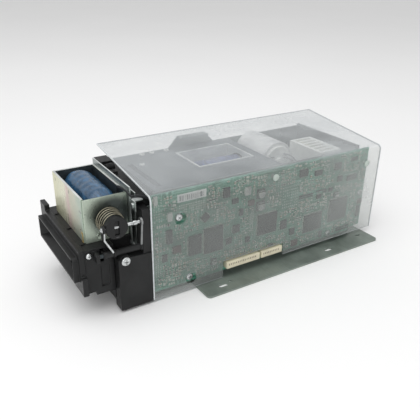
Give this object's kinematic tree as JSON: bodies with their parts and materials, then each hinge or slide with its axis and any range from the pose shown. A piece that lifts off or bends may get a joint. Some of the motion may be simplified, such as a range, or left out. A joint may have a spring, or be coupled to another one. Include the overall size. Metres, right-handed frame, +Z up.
{
  "type": "motorised card reader",
  "caption": "Motorised card reader with a front mouth, a solenoid shutter, belt-driven rollers, a contact unit and a side circuit board under a clear sheet cover.",
  "frame": {"origin": "centre of the four mounting slots, on the underside of the base plate", "axes": "+Z up, normal to the base plate; -Y towards the card mouth; +X towards the side with the circuit board"},
  "size_m": [0.1154, 0.2492, 0.085],
  "materials": {
    "zinc_sheet": "zinc-plated sheet, satin",
    "steel": "turned or ground steel",
    "spring_steel": "drawn wire",
    "passivated_zinc": "iridescent passivated zinc plating",
    "black_plastic": "moulded, fine matt texture",
    "white_nylon": "moulded nylon",
    "cream_nylon": "moulded connector housing",
    "blue_tape": "polyester winding tape",
    "motor_can": "bright drawn can",
    "belt_rubber": "toothed belt",
    "roller_rubber": "ground rubber",
    "brass": "turned brass",
    "circuit_board": "green solder mask",
    "chip_epoxy": "moulded epoxy",
    "clear_sheet": "hazy clear polyester sheet",
    "lead_sleeve": "insulated leads",
    "head_metal": "lapped head face"
  },
  "bodies": {
    "chassis": {"base_plate": "zinc_sheet", "near_side_plate": "zinc_sheet", "far_side_plate": "zinc_sheet", "rear_wall": "black_plastic", "front_cross_member": "black_plastic", "top_plate": "zinc_sheet", "lower_guide": "black_plastic", "upper_guide": "black_plastic", "front_block": "black_plastic", "shutter_housing": "black_plastic", "bezel": "black_plastic", "front_bulkhead": "zinc_sheet", "bulkhead_backplate": "zinc_sheet", "corner_bracket": "zinc_sheet", "solenoid_frame": "passivated_zinc", "solenoid_end_plate": "passivated_zinc", "solenoid_bobbin": "black_plastic", "solenoid_coil": "blue_tape", "lever_pivot_pin": "steel", "drive_motor": "motor_can", "timing_belt": "belt_rubber", "shaft_bushes": "brass", "contact_solenoid_frame": "passivated_zinc", "contact_coil": "blue_tape", "contact_lever_pin": "steel", "optical_sensors": "black_plastic", "main_board": "circuit_board", "large_chips": "chip_epoxy", "edge_connectors": "cream_nylon", "board_standoffs": "brass", "pan_head_screws": "steel", "clear_cover": "clear_sheet", "cover_rivets": "white_nylon", "rear_connector": "white_nylon", "wiring": "lead_sleeve", "plunger_spring": "spring_steel"},
    "plunger": {"plunger": "steel", "plunger_cap": "black_plastic", "cross_pin": "steel"},
    "shutter_lever": {"shutter_lever": "steel"},
    "shutter_blade": {"shutter_blade": "black_plastic"},
    "feed_front": {"feed_shaft_front": "steel", "feed_rollers_front": "roller_rubber", "feed_pulley_front": "white_nylon"},
    "feed_middle": {"feed_shaft_middle": "steel", "feed_rollers_middle": "roller_rubber", "feed_pulley_middle": "white_nylon"},
    "feed_rear": {"feed_shaft_rear": "steel", "feed_rollers_rear": "roller_rubber", "feed_pulley_rear": "white_nylon", "encoder_disc": "black_plastic"},
    "pinch_front": {"pinch_roller_front": "white_nylon"},
    "pinch_middle": {"pinch_roller_middle": "white_nylon"},
    "pinch_rear": {"pinch_roller_rear": "white_nylon"},
    "motor_rotor": {"motor_pulley": "brass"},
    "contact_plunger": {"contact_plunger": "steel"},
    "contact_lever": {"contact_lever": "steel"},
    "contact_unit": {"contact_block": "black_plastic", "contact_springs": "brass"},
    "magnetic_head": {"magnetic_head": "head_metal"}
  },
  "joints": [
    {"name": "plunger_slide", "type": "slide", "parent": "chassis", "child": "plunger", "axis": [-1, 0, 0], "range_m": [0, 0.005], "stiffness_N_per_m": 200, "springref_m": -0.001, "deforming": ["plunger_spring"]},
    {"name": "lever_pivot", "type": "hinge", "parent": "chassis", "child": "shutter_lever", "pos_m": [0.0394, -0.1175, 0.043], "axis": [0, -1, 0], "range_deg": [0, 16.5]},
    {"name": "blade_slide", "type": "slide", "parent": "chassis", "child": "shutter_blade", "axis": [0, 0, -1], "range_m": [0, 0.0026]},
    {"name": "feed_front_spin", "type": "hinge", "parent": "chassis", "child": "feed_front", "pos_m": [0, -0.078, 0.028], "axis": [1, 0, 0], "continuous": true},
    {"name": "feed_middle_spin", "type": "hinge", "parent": "chassis", "child": "feed_middle", "pos_m": [0, -0.008, 0.028], "axis": [1, 0, 0], "continuous": true},
    {"name": "feed_rear_spin", "type": "hinge", "parent": "chassis", "child": "feed_rear", "pos_m": [0, 0.062, 0.028], "axis": [1, 0, 0], "continuous": true},
    {"name": "pinch_front_spin", "type": "hinge", "parent": "chassis", "child": "pinch_front", "pos_m": [0, -0.078, 0.04035], "axis": [1, 0, 0], "continuous": true},
    {"name": "pinch_middle_spin", "type": "hinge", "parent": "chassis", "child": "pinch_middle", "pos_m": [0, -0.008, 0.04035], "axis": [1, 0, 0], "continuous": true},
    {"name": "pinch_rear_spin", "type": "hinge", "parent": "chassis", "child": "pinch_rear", "pos_m": [0, 0.062, 0.04035], "axis": [1, 0, 0], "continuous": true},
    {"name": "motor_spin", "type": "hinge", "parent": "chassis", "child": "motor_rotor", "pos_m": [-0.0416, 0.0325, 0.062], "axis": [1, 0, 0], "continuous": true},
    {"name": "contact_plunger_slide", "type": "slide", "parent": "chassis", "child": "contact_plunger", "axis": [0, -1, 0], "range_m": [0, 0.0016], "stiffness_N_per_m": 300, "springref_m": -0.001},
    {"name": "contact_lever_pivot", "type": "hinge", "parent": "chassis", "child": "contact_lever", "pos_m": [-0.0071, 0.007, 0.0445], "axis": [1, 0, 0], "range_deg": [0, 5.6]},
    {"name": "contact_lower", "type": "slide", "parent": "chassis", "child": "contact_unit", "axis": [0, 0, -1], "range_m": [0, 0.0024]},
    {"name": "head_give", "type": "slide", "parent": "chassis", "child": "magnetic_head", "axis": [0, 0, -1], "range_m": [0, 0.0006], "stiffness_N_per_m": 800, "springref_m": -0.0005}
  ],
  "couplings": [
    {"joint": "lever_pivot", "follows": "plunger_slide", "rad_per_m": 55.1},
    {"joint": "blade_slide", "follows": "plunger_slide", "ratio": 0.49},
    {"joint": "feed_middle_spin", "follows": "feed_front_spin", "ratio": 1},
    {"joint": "feed_rear_spin", "follows": "feed_front_spin", "ratio": 1},
    {"joint": "pinch_front_spin", "follows": "feed_front_spin", "ratio": -1.4},
    {"joint": "pinch_middle_spin", "follows": "feed_front_spin", "ratio": -1.4},
    {"joint": "pinch_rear_spin", "follows": "feed_front_spin", "ratio": -1.4},
    {"joint": "motor_spin", "follows": "feed_front_spin", "ratio": 1.5},
    {"joint": "contact_lever_pivot", "follows": "contact_plunger_slide", "rad_per_m": 58.8},
    {"joint": "contact_lower", "follows": "contact_plunger_slide", "ratio": 1.41}
  ]
}
